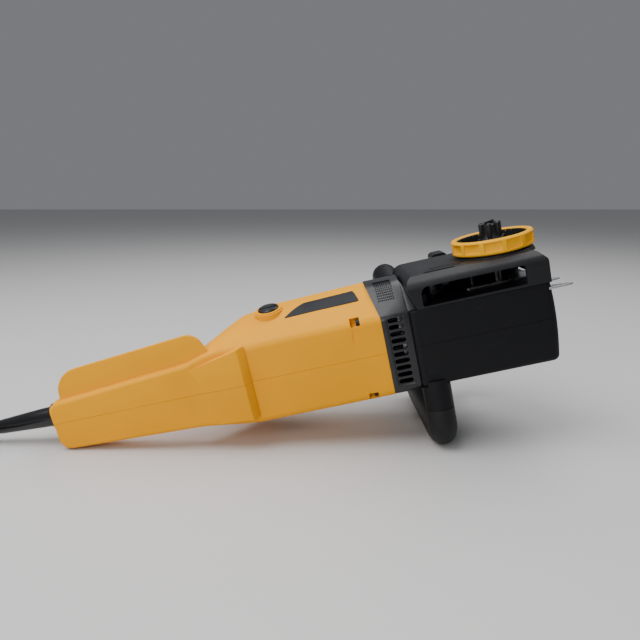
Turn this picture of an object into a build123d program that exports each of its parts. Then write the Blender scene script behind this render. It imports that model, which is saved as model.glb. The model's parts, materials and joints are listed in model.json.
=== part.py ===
from build123d import *
import math
import os

# Corded in-line electric chainsaw power head, without bar and chain, lying on its left side.
# Everything is drawn in the saw's own frame and then leant over and set down:
# X runs to the nose, Y to the saw's top, Z to the saw's right side. The motor axis is Y = Z = 0.
os.makedirs("parts", exist_ok=True)

# How the saw lies: nose up by LEAN degrees, with its frame's origin at SAW_AT.
LEAN = 12.4
SAW_AT = (-1.5, -28.3, 78.0)

# Driving dimensions, mm
WALL = 3.0                  # moulded shell thickness
REAR_X = -235.0             # rear end of the rear handle
GLAND_X = -243.0            # rear face of the cord gland
NECK_X = -105.0             # handle bridge meets the motor housing's flare
MOTOR_REAR_X = -50.0        # full motor section starts
VENT_X = 81.2               # motor housing ends, vent ring starts
HEAD_X = 107.0              # gear head starts
NOSE_X = 236.0              # gear head's front face
UNDER_Y = -50.0             # the saw's underside
DECK_Z = 35.0               # head's right face, where the sprocket cover sits
HEAD_LOW_Z = -39.0          # head's left face
HEAD_SPLIT_Z = 1.6          # parting plane of the head's halves
SPINDLE_X = 138.0           # sprocket spindle's axis
STUD_X = 203.0              # bar stud, clamp knob and tension ring axis
RING_R = 38.2               # tension ring's outer radius
RING_BORE_R = 32.6
RING_LOW_Z = 67.5
RING_HIGH_Z = 81.0
SHAFT_R = 6.0
SPINDLE_R = 5.0
STATOR_R = 39.5
PINION_TEETH = 9
GEAR_TEETH = 36
HANDLE_TUBE_R = 13.5
HANDLE_X = 116.0            # front handle's plane
GRIP_Z = -91.6              # axis of the front handle's grip
SLEEVE_TOP_Z = -62.0        # where the rubber sleeve starts on the handle's legs
GUARD_PIVOT = (172.0, 61.0)
TRIGGER_PIVOT = (-78.0, 36.0)
CORD_Y = -31.0              # cord entry, in the rear end's lower corner
CORD_Z = 3.0
TENSION_PEG_X = 178.0       # tension slider's peg, at rest
HOUSING_SCREWS = [(-221, -20), (-150, -38), (-94, -36), (-221, 40), (-152, 46), (-60, 46)]
HEAD_SCREWS = [(62, -40.5, 33), (66, -40.5, -37), (62, 40, 31), (66, 40, -35)]
HEAD_BOSSES = [(115, -43), (115, 43), (174, -43), (174, 43), (229, -43), (229, 43)]
OIL_CAP_AT = (206.0, -20.0)
BRUSH_X = -21.0
BRUSH_TILT = 10.0           # brush axis leans to the underside, degrees
CORD_R = 4.75
RUN_FIT = 0.05              # radial clearance of running fits
GAP = 0.4                   # clearance between bodies

parts = {}                  # in the saw's frame
parts_on_cord = {}          # in the object's frame
screws = []                 # every case screw, in the saw's frame


# ---- helpers -------------------------------------------------------------------------------
def outline(points, radii):
    return make_face(FilletPolyline(*points, radius=radii, close=True))


def slab_xy(points, radii, low, high):
    return extrude(Plane.XY.offset(low) * outline(points, radii), high - low)


def slab_xz(points, radii, low, high):
    return extrude(Plane.XZ.offset(-high) * outline(points, radii), high - low)


def slab_yz(points, radii, low, high):
    return extrude(Plane.YZ.offset(low) * outline(points, radii), high - low)


def block(x, y, z):
    size = (x[1] - x[0], y[1] - y[0], z[1] - z[0])
    middle = ((x[0] + x[1]) / 2, (y[0] + y[1]) / 2, (z[0] + z[1]) / 2)
    return Pos(*middle) * Box(*size)


def rod_x(radius, low, high, y=0.0, z=0.0):
    return Pos((low + high) / 2, y, z) * Rot(0, 90, 0) * Cylinder(radius, high - low)


def rod_y(radius, low, high, x=0.0, z=0.0):
    return Pos(x, (low + high) / 2, z) * Rot(90, 0, 0) * Cylinder(radius, high - low)


def rod_z(radius, low, high, x=0.0, y=0.0):
    return Pos(x, y, (low + high) / 2) * Cylinder(radius, high - low)


def tube_x(outer, inner, low, high, y=0.0, z=0.0):
    return rod_x(outer, low, high, y, z) - rod_x(inner, low - 1, high + 1, y, z)


def tube_z(outer, inner, low, high, x=0.0, y=0.0):
    return rod_z(outer, low, high, x, y) - rod_z(inner, low - 1, high + 1, x, y)


def slot_y(length, width, low, high, x, z):
    """A round-ended slot along X, cut through in Y."""
    half, radius = (length - width) / 2, width / 2
    middle = block((x - half, x + half), (low, high), (z - radius, z + radius))
    return middle + rod_y(radius, low, high, x - half, z) + rod_y(radius, low, high, x + half, z)


def above(z):
    return block((-400, 400), (-300, 300), (z, z + 400))


def below(z):
    return block((-400, 400), (-300, 300), (z - 400, z))


def around_spindle(shape):
    return Pos(SPINDLE_X, 0, 0) * shape


def around_stud(shape):
    return Pos(STUD_X, 0, 0) * shape


def across_brushes(shape):
    """Turns a shape drawn about +Z onto the brush axis."""
    return Pos(BRUSH_X, 0, 0) * Rot(BRUSH_TILT, 0, 0) * shape


def group(shapes):
    return Compound(children=list(shapes))


# ---- motor housing and rear handle, two shells ------------------------------------------------
def motor_face(x, crown, inset):
    """Cross-section of the motor housing: flat underside, crowned right and left sides."""
    corners = [
        (-45, -41), (-45, 34), (-15, crown - 3), (18, crown), (46, 34), (46, -38), (18, -53), (-15, -52),
    ]
    face = outline(corners, [9, 9, 22, 22, 12, 12, 18, 18])
    if inset:
        face = offset(face, -inset)
    return Plane.YZ.offset(x) * face


def neck_face(x, inset):
    """Cross-section of the handle's lower bridge where it meets the flare."""
    low, high = UNDER_Y, -26
    corners = [
        (low, -32), (low, 29), (low + 7, 31), (high - 7, 31),
        (high, 29), (high, -32), (high - 7, -34), (low + 7, -34),
    ]
    face = outline(corners, [4, 4, 5, 5, 4, 4, 5, 5])
    if inset:
        face = offset(face, -inset)
    return Plane.YZ.offset(x) * face


def housing_solid(inset):
    """Outer form of the two housing shells, or their hollow when inset is the wall."""
    i = inset
    motor = loft([motor_face(MOTOR_REAR_X, 57, i), motor_face(VENT_X + (5 if i else 0), 61, i)])
    flare = loft([neck_face(NECK_X, i), motor_face(MOTOR_REAR_X, 57, i)])
    bridge = slab_xz(
        [(REAR_X + i, -29.7 + i), (NECK_X, -33.5 + i), (NECK_X, 29.5 - i), (REAR_X + i, 20 - i)],
        [9 - i, 0, 0, 7 - i],
        UNDER_Y + i,
        -26 - i,
    )
    foot = [(REAR_X + i, -29 + i), (-206 - i, -29 + i), (-206 - i, 19 - i), (REAR_X + i, 19 - i)]
    rear = REAR_X + 4 + i
    crown = [(rear, -17 + i), (-204 - i, -17 + i), (-204 - i, 17 - i), (rear, 17 - i)]
    post = loft([Plane.XZ.offset(48) * outline(foot, 6), Plane.XZ.offset(-52) * outline(crown, 6)])
    bar = [(20 + i, -17 + i), (20 + i, 17 - i), (54 - i, 17 - i), (54 - i, -17 + i)]
    grip = slab_yz(bar, 12 - i, REAR_X + 6 + i, -42)
    return motor + flare + bridge + post + grip


def underside_pad():
    side = [(-100, -49), (-89, -50.8), (-52, -53.4), (-50.5, -46), (-60, -40)]
    return slab_xy(side, [0, 0, 1, 0, 0], -34, 35)


def guard_plate():
    """Wide flange beside the rear handle that shields the right hand."""
    return slab_xz([(-226, 12), (-226, 45.5), (-95, 54.5), (-80, 18)], [0, 22, 14, 0], -44, -40.4)


def screw_pockets():
    """Open-sided pockets for the long screws that run forward into the gear head."""
    cuts = []
    for x, y, z in HEAD_SCREWS:
        out_y, out_z = 2.0 * math.copysign(1, y), 2.0 * math.copysign(1, z)
        cuts += [rod_x(4.4, x - 9, x, y, z), rod_x(4.4, x - 9, x, y + out_y, z + out_z)]
        cuts.append(rod_x(2.2, x - 1, VENT_X + 2, y, z))
    return cuts


def head_screw_towers():
    return [rod_x(6.0, x - 11, VENT_X, y, z) for x, y, z in HEAD_SCREWS]


def housing_bosses():
    """Screw towers on the parting plane that join the two shells."""
    return [rod_z(4.2, -60, 60, x, y) for x, y in HOUSING_SCREWS]


def housings():
    outer = housing_solid(0)
    shell = outer - housing_solid(WALL)
    shell = shell + [post & outer for post in housing_bosses() + head_screw_towers()]
    # saddles that hold the rear bearing and the stator
    inner = housing_solid(WALL - 0.5)
    saddles = (block((-44, -34), (-60, 60), (-60, 60)) & inner) - rod_x(11.0, -50, -30)
    shell = shell + saddles
    for x in (2, 40):
        shell = shell + ((block((x, x + 3), (-60, 60), (-60, 60)) & inner) - rod_x(STATOR_R, x - 1, x + 4))
    # brush tunnels, open to the outside, with a raised collar
    shell = shell + across_brushes(rod_z(13.5, 48, 60.5)) + across_brushes(rod_z(13.5, -55.5, -44))
    shell = shell - across_brushes(rod_z(10.4, 56, 80)) - across_brushes(rod_z(10.4, -80, -51))
    shell = shell - across_brushes(block((-6.2, 6.2), (-5.2, 5.2), (-80, 80)))
    shell = shell - screw_pockets() + (underside_pad() - housing_solid(WALL))
    # trigger window under the grip, lock-off hole in its right side, cord entry at the rear
    shell = shell - block((-119, -80), (14, 30), (-7.6, 7.6))
    shell = shell - block((-132.1, -115.9), (30.6, 41.4), (13, 30))
    shell = shell - rod_x(9, REAR_X - 2, REAR_X + 8, CORD_Y, CORD_Z) - rod_z(2.0, -15.6, 15.6, *TRIGGER_PIVOT)
    for x, y in HOUSING_SCREWS:
        shell = shell - rod_z(1.8, -60, 26, x, y) - rod_z(3.6, -60, -19, x, y)
    right = (shell & above(0)) + guard_plate()
    left = shell & below(0)
    parts["right_housing"] = right
    parts["left_housing"] = left
    across = [rod_z(3.3, -22.0, -19.2, x, y) + rod_z(1.7, -20, 25, x, y) for x, y in HOUSING_SCREWS]
    along = [rod_x(3.4, x - 3.6, x, y, z) + rod_x(2.1, x - 1, VENT_X, y, z) for x, y, z in HEAD_SCREWS]
    screws.extend(across + along)
    plate = slab_xy([(2, -27), (16, -39), (69, -39), (69, -27)], [0, 0, 2, 2], 40, 70)
    skin = loft([motor_face(-20, 59.2, -0.6), motor_face(VENT_X, 61.6, -0.6)])
    under = loft([motor_face(MOTOR_REAR_X, 57.02, -0.02), motor_face(VENT_X, 61.02, -0.02)])
    parts["blank_label"] = (plate & skin) - under


# ---- switch, trigger and cord entry in the rear handle ------------------------------------------
def handle_controls():
    px, py = TRIGGER_PIVOT
    blade = slab_xy(
        [(-113, 7), (-104, 9), (-86, 17), (-80, 24), (-74, 33), (-76, 40), (-90, 33), (-114, 31)],
        [4, 4, 3, 3, 2, 3, 2, 2], -6.5, 6.5,
    )
    parts["trigger"] = blade - rod_z(2.0 + RUN_FIT, -20, 20, px, py)
    plunger_bay = block((-98, -92), (38, 45), (-2.6, 2.6))
    parts["switch_body"] = block((-112, -84), (40.2, 49.4), (-8.5, 8.5)) - plunger_bay
    parts["switch_plunger"] = block((-97, -93), (33.6, 41.2), (-2.2, 2.2))
    stem = block((-131.5, -116.5), (31.2, 40.8), (12.5, 20.5))
    parts["lock_off_button"] = stem + block((-133, -115), (30.2, 41.8), (10.5, 12.8))
    parts["button_spring"] = tube_z(3.0, 2.0, -13.9, 10.4, -124, 36)
    clamp = block((-216, -204), (-41, -37), (CORD_Z - 7, CORD_Z + 7))
    parts["cord_clamp"] = clamp - rod_x(CORD_R + 0.2, -220, -200, CORD_Y, CORD_Z)
    gland = slab_yz([(-45, -9), (-45, 15.5), (-17, 15.5), (-17, -9)], 7, GLAND_X, REAR_X)
    bore = rod_x(5.6, REAR_X - 12, REAR_X + 9, CORD_Y, CORD_Z)
    parts["cord_gland"] = (gland + rod_x(8.8, REAR_X - 1, REAR_X + 7, CORD_Y, CORD_Z)) - bore


# ---- motor ------------------------------------------------------------------------------------
def motor():
    journal = rod_x(4.0 - RUN_FIT, -43, -35.5)
    parts["armature_shaft"] = journal + rod_x(SHAFT_R, -35.5, 103.0) + rod_x(4.5, 103.0, 124)
    core = tube_x(23.2, SHAFT_R, 2, 46)
    for k in range(12):
        core = core - Rot(k * 30, 0, 0) * block((1, 47), (-1.2, 1.2), (14, 25))
    parts["armature_core"] = core
    parts["armature_windings"] = tube_x(20.5, SHAFT_R, -8, 2) + tube_x(20.5, SHAFT_R, 46, 56)
    segments = tube_x(13.0, SHAFT_R, -31, -10)
    for k in range(16):
        segments = segments - Rot(k * 22.5, 0, 0) * block((-29, -9), (-0.4, 0.4), (11.5, 14))
    parts["commutator"] = segments
    stator = tube_x(STATOR_R, 24.0, 2, 46)
    for turn in (0, 180):
        stator = stator - Rot(turn, 0, 0) * block((1, 47), (-16, 16), (25.5, 33))
        stator = stator - Rot(turn, 0, 0) * block((1, 47), (20, 30), (-8, 8))
    parts["stator_core"] = stator
    coil = block((-6, 54), (-15.5, 15.5), (25.8, 32.6))
    parts["field_coils"] = group([coil, Rot(180, 0, 0) * coil])
    rear_bearing = tube_x(11.0, 4.0, -43, -36)
    hub = tube_x(13, SHAFT_R, 84, 99) + tube_x(36, SHAFT_R, 84, 86.5)
    for k in range(16):
        hub = hub + Rot(k * 22.5, 0, 0) * block((86, 98), (-0.9, 0.9), (12.5, 36))
    parts["cooling_fan"] = hub
    parts["motor_bearings"] = group([rear_bearing, tube_x(14.0, 4.5 + RUN_FIT, 103.5, 110.4)])
    holder = block((-6, 6), (-5, 5), (15.5, 44)) - block((-4, 4), (-3.2, 3.2), (10, 60))
    parts["brush_holders"] = group([across_brushes(holder), across_brushes(Rot(180, 0, 0) * holder)])
    brush = block((-3.9, 3.9), (-3.1, 3.1), (13.3, 27))
    brush = brush + tube_z(2.8, 1.9, 26.5, 50)
    parts["carbon_brushes"] = group([across_brushes(brush), across_brushes(Rot(180, 0, 0) * brush)])
    cap = rod_z(10.2, 56.2, 62.6) - block((-12, 12), (-1.1, 1.1), (61.2, 64)) + rod_z(5, 50, 56.4)
    low_cap = rod_z(10.2, 51.2, 57.6) - block((-12, 12), (-1.1, 1.1), (56.2, 59)) + rod_z(5, 50, 51.4)
    parts["brush_caps"] = group([across_brushes(cap), across_brushes(Rot(180, 0, 0) * low_cap)])


# ---- vent ring between the motor and the gear head -------------------------------------------------
def vent_form(inset, low=VENT_X, high=HEAD_X):
    corners = [
        (-46.5, -40.5), (-46.5, 33), (-17, 59.5), (18, 61.3), (47, 33), (47, -38), (18, -50), (-15, -50),
    ]
    face = outline(corners, [9, 9, 22, 22, 12, 12, 18, 18])
    if inset:
        face = offset(face, -inset)
    return extrude(Plane.YZ.offset(low) * face, high - low)


def vent_ring():
    ring = vent_form(0) - vent_form(WALL, VENT_X - 1, HEAD_X + 1)
    for k in range(10):
        z = -29.6 + k * 6.6
        ring = ring - slot_y(12, 4, -60, -40, 93.8, z) - slot_y(12, 4, 40, 60, 93.8, z)
    screen_window = block((86, 100), (-35, -11), (30, 70))
    ring = ring - (screen_window - vent_form(WALL + 3))
    screen = (vent_form(1.4) - vent_form(2.6, VENT_X - 1, HEAD_X + 1)) & screen_window
    for k in range(6):
        screen = screen - block((87.5, 98.5), (-33.2 + k * 3.8, -31.4 + k * 3.8), (30, 70))
    parts["vent_ring"] = ring + screen


# ---- gear head: halves, gears, spindle, oil system ----------------------------------------------------
def head_solid(inset):
    i = inset
    rear, front, low = HEAD_X + i, NOSE_X - i, UNDER_Y + i
    points = [(rear, low), (front, low), (front, 50 - i), (rear, 50 - i)]
    body = slab_xy(points, 7 - i, HEAD_LOW_Z + i, DECK_Z - i)
    if i:
        return body
    nose = block((NOSE_X - 20, NOSE_X + 10), (UNDER_Y + 5, 45), (HEAD_LOW_Z, DECK_Z))
    return body + (rod_y(330, UNDER_Y, 50, NOSE_X - 327.5, 0) & nose)


def window_form(inset, low, high):
    """Oil level window in the head's left face."""
    rear, front, half = 190 + inset, 218 - inset, 6 - inset
    points = [(rear, -half), (front, -half), (front, half), (rear, half)]
    return slab_xy(points, 5 - inset, low, high)


def guard_lugs():
    """Ears on the head's top face that carry the hand guard's pin."""
    px, py = GUARD_PIVOT
    points = [(px - 9, 49), (px + 9, 49), (px + 5, py + 5.5), (px - 5, py + 5.5)]
    spans = [(-34, -26.6), (-17.4, -9.4), (5.4, 13.4), (22.6, 30)]
    ears = [slab_xy(points, [0, 0, 3, 3], low, high) for low, high in spans]
    return [ear - rod_z(2.5, -40, 40, px, py) for ear in ears]


def gear_head():
    shell = head_solid(0) - head_solid(WALL)
    bosses = [rod_z(4.5, HEAD_LOW_Z + 1, DECK_Z - 1, x, y) for x, y in HEAD_BOSSES]
    shell = shell + bosses + guard_lugs()
    shell = shell - rod_x(38.5, HEAD_X - 1, HEAD_X + 6) - rod_z(16.3, 20, 50, SPINDLE_X, 0)
    shell = shell - rod_y(15.5, 40, 60, OIL_CAP_AT[0], OIL_CAP_AT[1])
    for x, y in HEAD_BOSSES:
        shell = shell - rod_z(2.0, -60, DECK_Z - 4, x, y) - rod_z(3.8, -60, HEAD_LOW_Z + 5, x, y)
    shell = shell - rod_z(4.0, 20, 50, STUD_X, 0)
    shell = shell - window_form(0, HEAD_LOW_Z - 2, HEAD_LOW_Z + 5)
    shell = shell - block((225, 240), (-49, 49.5), (28.2, 30.2))
    parts["gear_housing_right"] = shell & above(HEAD_SPLIT_Z)
    parts["gear_housing_left"] = shell & below(HEAD_SPLIT_Z)
    for x, y in HEAD_BOSSES:
        head = rod_z(3.5, HEAD_LOW_Z + 1.0, HEAD_LOW_Z + 4.8, x, y)
        screws.append(head + rod_z(1.95, HEAD_LOW_Z + 4, 27.8, x, y))
    upper = block((112, 170), (-36, 36), (20, 30)) - rod_z(13.0, 18, 32, SPINDLE_X, 0)
    lower = block((112, 170), (-36, 36), (-25, -17)) - rod_z(11.0, -26, -16, SPINDLE_X, 0)
    cheeks = block((110.1, 170), (-36, -32), (-17, 20)) + block((110.1, 170), (32, 36), (-17, 20))
    flange = rod_x(36.5, 103.4, 110.4) - rod_x(14.0, 102, 112.5)
    neck = block((108, 114), (-20, 20), (20, 28)) & rod_x(36.5, 100, 120)
    parts["gear_case"] = upper + cheeks + flange + neck
    parts["gear_case_cover"] = lower
    spindle = rod_z(4.0 - RUN_FIT, -24, -16) + rod_z(SPINDLE_R, -16, 20)
    spindle = spindle + rod_z(6.0 - RUN_FIT, 20, 30) + rod_z(6.0, 30, 58)
    spindle = spindle - tube_z(7, 5.2, 55.2, 56.4)
    parts["sprocket_spindle"] = around_spindle(spindle)
    parts["spindle_bearings"] = group([
        around_spindle(tube_z(11.0, 4.0, -24, -17)),
        around_spindle(tube_z(13.0, 6.0, 20.5, 29.5)),
    ])
    gear = tube_z(26.6, SPINDLE_R, 7.9, 12.5) + tube_z(11, SPINDLE_R, 12.4, 19)
    for k in range(GEAR_TEETH):
        tooth = block((22.6, 26.2), (-0.6, 0.6), (5.0, 8.0))
        gear = gear + Rot(0, 0, (k + 0.5) * 360 / GEAR_TEETH) * tooth
    parts["bevel_gear"] = around_spindle(gear)
    teeth = rod_x(4.9, 111.7, 116.2)
    for k in range(PINION_TEETH):
        teeth = teeth + Rot(k * 360 / PINION_TEETH, 0, 0) * block((111.7, 116.2), (-0.5, 0.5), (4.6, 6.9))
    parts["drive_pinion"] = teeth - rod_x(4.5, 110, 127)
    parts["brake_drum"] = around_spindle(tube_z(22, 19.5, -15, -8.6) + tube_z(20, SPINDLE_R, -15, -12.5))
    band = tube_z(23.5, 22.4, -14.6, -9) - block((-30, 0), (-3, 3), (-20, 0))
    parts["brake_band"] = around_spindle(band)
    sprocket = tube_z(13.0, 6.0, 38.5, 40.5) + tube_z(13.0, 6.0, 47.5, 49.5) + tube_z(10.5, 6.0, 40, 48)
    for k in range(6):
        sprocket = sprocket + Rot(0, 0, k * 60) * block((9, 17.5), (-2.2, 2.2), (42.4, 45.6))
    parts["drive_sprocket"] = around_spindle(sprocket)
    clip = tube_z(8.2, 5.3, 55.3, 56.3) - block((0, 12), (-3, 3), (54, 58))
    parts["sprocket_retainer"] = group([around_spindle(tube_z(9.0, 6.1, 49.6, 50.6)), around_spindle(clip)])
    tank = slab_xy([(180, -45), (223, -45), (223, 45), (180, 45)], 6, -34.5, -4.5)
    tank = tank - slab_xy([(182, -43), (221, -43), (221, 43), (182, 43)], 4, -32.5, -6.5)
    neck = rod_y(15.0, 43, 49.5, *OIL_CAP_AT) - rod_y(12.0, 40, 52, *OIL_CAP_AT)
    parts["oil_tank"] = tank - rod_y(12.0, 42, 52, *OIL_CAP_AT) + neck
    cap = rod_y(17.5, 50.6, 58, *OIL_CAP_AT) + rod_y(11.8, 42, 51, *OIL_CAP_AT)
    x, z = OIL_CAP_AT
    parts["oil_cap"] = cap - rod_y(9.5, 41, 48, x, z) + block((x - 15, x + 15), (57, 62), (z - 2, z + 2))
    parts["oil_window"] = window_form(0.1, HEAD_LOW_Z + 0.4, HEAD_LOW_Z + 3.5)
    parts["oil_pump"] = block((147, 168), (10, 30), (-8, 4)) - rod_z(2, -10, 6, 152, 24)


# ---- bar side: stud, plates, bumper, catcher -------------------------------------------------------
def bar_side():
    parts["bar_stud"] = rod_z(4.0, 22, 82, STUD_X, 0) + rod_z(7.5, 24, 31.8, STUD_X, 0)
    pad = slab_xy([(168, -13), (232, -13), (232, 13), (168, 13)], 4, DECK_Z, DECK_Z + 1.6)
    parts["guide_plate"] = pad - rod_z(4.02, 30, 40, STUD_X, 0) - rod_z(2.1, 30, 40, TENSION_PEG_X, 0)
    teeth = [(226, -48.5)]
    for tip in (-46, -17, 12, 41):
        teeth += [(238.5, max(tip - 5, -48.5)), (252, tip - 1.5), (256.5, tip), (238.5, tip + 7)]
    teeth += [(226, 48.0)]
    parts["spiked_bumper"] = slab_xy(teeth, 0.4, 28.2, 30.2)
    parts["chain_catcher"] = rod_z(3.4, DECK_Z, 46, 124, -37)


# ---- sprocket cover, tension ring and clamp knob --------------------------------------------------
def cover_solid(inset):
    """The sprocket cover's form: rear face leaning back, shoulders sloped in to the flat right face."""
    i = inset
    low = DECK_Z - (1 if i else 0)
    side = [
        (115 + i, low), (107.5 + i, 58), (113 + i, 65 - i), (150, 65.5 - i),
        (230 - i, 64.5 - i), (NOSE_X - i, 56), (NOSE_X - i, low),
    ]
    ends = [
        (UNDER_Y + i, low), (UNDER_Y + i, 59.5), (-39 + i, 66 - i),
        (39 - i, 66 - i), (50 - i, 59.5), (50 - i, low),
    ]
    length = slab_xz(side, [0, 6, 5, 0, 4, 3, 0], UNDER_Y + i, 50 - i)
    return length & slab_yz(ends, [0, 4, 6, 6, 4, 0], 90, 260)


def sprocket_side():
    cover = cover_solid(0) - cover_solid(2.5)
    collar = around_stud(Pos(0, 0, 63.6) * Cone(38.5, 35.0, 6.8))
    cover = cover + collar
    cover = cover - rod_z(20, 55, 80, STUD_X, 0)
    cover = cover - block((121, 215), (-60, -44), (DECK_Z + 2, DECK_Z + 20))
    cover = cover - block((228, 250), (-36, 36), (DECK_Z - 2, DECK_Z + 13))
    cover = cover & block((0, 400), (-80, 80), (DECK_Z, 67))
    parts["sprocket_cover"] = cover
    rim = tube_z(RING_R, RING_BORE_R, RING_LOW_Z, RING_HIGH_Z)
    panel = block((RING_R - 1.2, RING_R + 2), (-7.6, 7.6), (RING_LOW_Z + 3, RING_HIGH_Z - 2.5))
    for k in range(12):
        rim = rim - Rot(0, 0, k * 30 + 15) * panel
    parts["tension_ring"] = around_stud(rim)
    dish = tube_z(RING_BORE_R - RUN_FIT, 12.5, RING_LOW_Z + 0.2, RING_LOW_Z + 3) + tube_z(19.6, 12.5, 59, RING_LOW_Z + 1)
    parts["ring_dish"] = around_stud(dish)
    knob = rod_z(14.0, 72.4, 80) + rod_z(8.4, 79, 95) + rod_z(11.8, 60.5, 73)
    for k in range(6):
        knob = knob + Rot(0, 0, k * 60) * rod_z(2.6, 79, 93, 8.2, 0)
    knob = knob - rod_z(6.5, 59, 84)
    parts["clamp_knob"] = around_stud(knob)
    parts["clamp_nut"] = around_stud(rod_z(6.5, 60.5, 84) - rod_z(4.0 + RUN_FIT, 59, 83))
    peg = rod_z(2.0, 37, 54, TENSION_PEG_X, 0)
    parts["tension_slider"] = block((TENSION_PEG_X - 4, TENSION_PEG_X + 4), (-5, 5), (53.5, 58.2)) + peg


# ---- front handle and hand guard ---------------------------------------------------------------------
def front_handle():
    """Wrap-around handle: out of the underside, along the left side as the grip, up past the top."""
    route = [
        (HANDLE_X + 4, -36, HEAD_LOW_Z + 3.5), (HANDLE_X + 2, -37, GRIP_Z), (HANDLE_X, 90, GRIP_Z),
        (HANDLE_X - 9, 92, 45), (HANDLE_X - 9, 46, 33),
    ]
    path = FilletPolyline(*route, radius=[22, 24, 20])
    start = Plane(origin=path @ 0, z_dir=path % 0)
    tube = sweep(start * Circle(HANDLE_TUBE_R), path=path)
    core = sweep(start * Circle(HANDLE_TUBE_R - 2), path=path)
    tube = tube - vent_form(0) - head_solid(0) - cover_solid(0)
    sleeve = (tube - core) & below(SLEEVE_TOP_Z)
    parts["front_handle"] = (tube & above(SLEEVE_TOP_Z)) + (core & below(SLEEVE_TOP_Z + 1))
    parts["front_grip"] = sleeve


def hand_guard():
    px, py = GUARD_PIVOT
    panel = slab_xz([(158, -84), (158, 60), (176, 60), (176, -84)], 5, 88, 110)
    arm = [(px - 6, py - 6), (px + 6, py - 6), (175, 95), (160, 95)]
    bar = panel
    for low in (-26, 14):
        bar = bar + slab_xy(arm, [4, 4, 0, 0], low, low + 8)
    parts["hand_guard"] = bar - rod_z(2.5 + RUN_FIT, -40, 40, px, py)
    parts["pivot_pins"] = group([rod_z(2.5, -36, 32, px, py), rod_z(2.0, -15.5, 15.5, *TRIGGER_PIVOT)])


# ---- cord, boot, coil and plug, drawn where they lie in the object's frame -------------------------
# The lead leaves the gland, sinks to the surface and runs into a small coil; its tail ends in the plug.
LEAD = [
    (-228.7, -59.3, 31.1), (-263.9, -59.3, 23.4), (-295.2, -59.1, 15.2),
    (-326.5, -61.6, 7.0), (-358.3, -71.0, 4.9),
]
TAIL = [(-374.0, -80.1, 14.6), (-396.0, -95.2, 15.1), (-420.5, -102.6, 16.6), (-445.0, -105.0, 17.5)]
COIL_AT = (-340.3, -120.3)
COIL_R = 52.5
COIL_LAP = [(0, 0), (80, 14), (60, 90), (-60, 90), (-80, 80), (0, 0)]   # where the turn laps over
TIE_ANGLE = 121.0
BOOT_LENGTH = 60.0


def cord_run(points):
    """A tube along straight runs joined by arcs as large as the runs allow."""
    corners = []
    for before, at, after in zip(points, points[1:], points[2:]):
        first, second = Vector(*at) - Vector(*before), Vector(*after) - Vector(*at)
        half_turn = math.radians(first.get_angle(second) / 2)
        corners.append(0.45 * min(first.length, second.length) / math.tan(half_turn))
    path = FilletPolyline(*points, radius=corners)
    start = Plane(origin=path @ 0, z_dir=path % 0)
    tube = sweep(start * Circle(CORD_R), path=path)
    print("cord run", round(path.length, 1), "mm")
    return tube


def cord_set():
    lead = cord_run(LEAD)
    tail = cord_run(TAIL)
    base = Plane(origin=(*COIL_AT, 0), x_dir=(1, 0, 0), z_dir=(0, 0, 1))
    inner, outer = COIL_R - CORD_R - 0.2, COIL_R + CORD_R + 0.2
    coil = tube_z(outer, inner, 0.1, 9.7)
    lap_sector = extrude(Plane.XY.offset(9) * make_face(Polyline(*COIL_LAP)), 12)
    lap = tube_z(outer, inner, 9.6, 19.5) & lap_sector
    strap = block((inner - 1.6, outer + 1.6), (-5, 5), (0, 21.1))
    strap = Rot(0, 0, TIE_ANGLE) * (strap - block((inner - 0.3, outer + 0.3), (-6, 6), (1.3, 19.8)))
    parts_on_cord["cord_tie"] = base * strap
    parts_on_cord["cord_coil"] = base * (coil + lap - strap)
    parts_on_cord["cord_lead"] = lead
    parts_on_cord["cord_tail"] = tail
    reach = GLAND_X
    boot = rod_x(12.2, reach - 3.5, reach, CORD_Y, CORD_Z) + rod_x(5.5, reach - 1, reach + 8, CORD_Y, CORD_Z)
    taper = Pos(reach - BOOT_LENGTH / 2, CORD_Y, CORD_Z) * Rot(0, -90, 0) * Cone(10.0, 6.9, BOOT_LENGTH)
    parts_on_cord["cord_boot"] = place(boot + taper) - lead
    x, y, z = TAIL[-1]
    neck = Plane(origin=(x + 3, y, z), x_dir=(0, 1, 0), z_dir=(-1, 0, 0))
    shell = loft([
        neck * Circle(6.5), neck.offset(16) * Circle(7.4),
        neck.offset(26) * RectangleRounded(27, 26, 12.5), neck.offset(46) * RectangleRounded(36, 32.6, 15),
    ])
    pin = Cylinder(2.4, 17) + Pos(0, 0, 9.2) * Cone(2.4, 1.5, 2)
    tip_plane = neck.offset(46 + 8.5)
    parts_on_cord["plug_body"] = shell - tail
    parts_on_cord["plug_pins"] = group(tip_plane * Pos(side * 9.5, 0, 0) * pin for side in (1, -1))


# ---- set down, write ------------------------------------------------------------------------------------
def place(shape):
    return Pos(*SAW_AT) * Rot(0, -LEAN, 0) * shape


housings()
handle_controls()
motor()
vent_ring()
gear_head()
bar_side()
sprocket_side()
front_handle()
hand_guard()

cord_set()
parts["case_screws"] = group(screws)

placed = {name: place(shape) for name, shape in parts.items()}
for name, shape in {**placed, **parts_on_cord}.items():
    export_step(shape, f"parts/{name}.step")
boxes = [shape.bounding_box() for shape in placed.values()]
low_corner = [round(min(tuple(box.min)[axis] for box in boxes), 2) for axis in range(3)]
high_corner = [round(max(tuple(box.max)[axis] for box in boxes), 2) for axis in range(3)]
print("saw without its cord:", low_corner, high_corner)
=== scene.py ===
import json
import math
import bmesh
import bpy
from mathutils import Matrix, Vector


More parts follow.
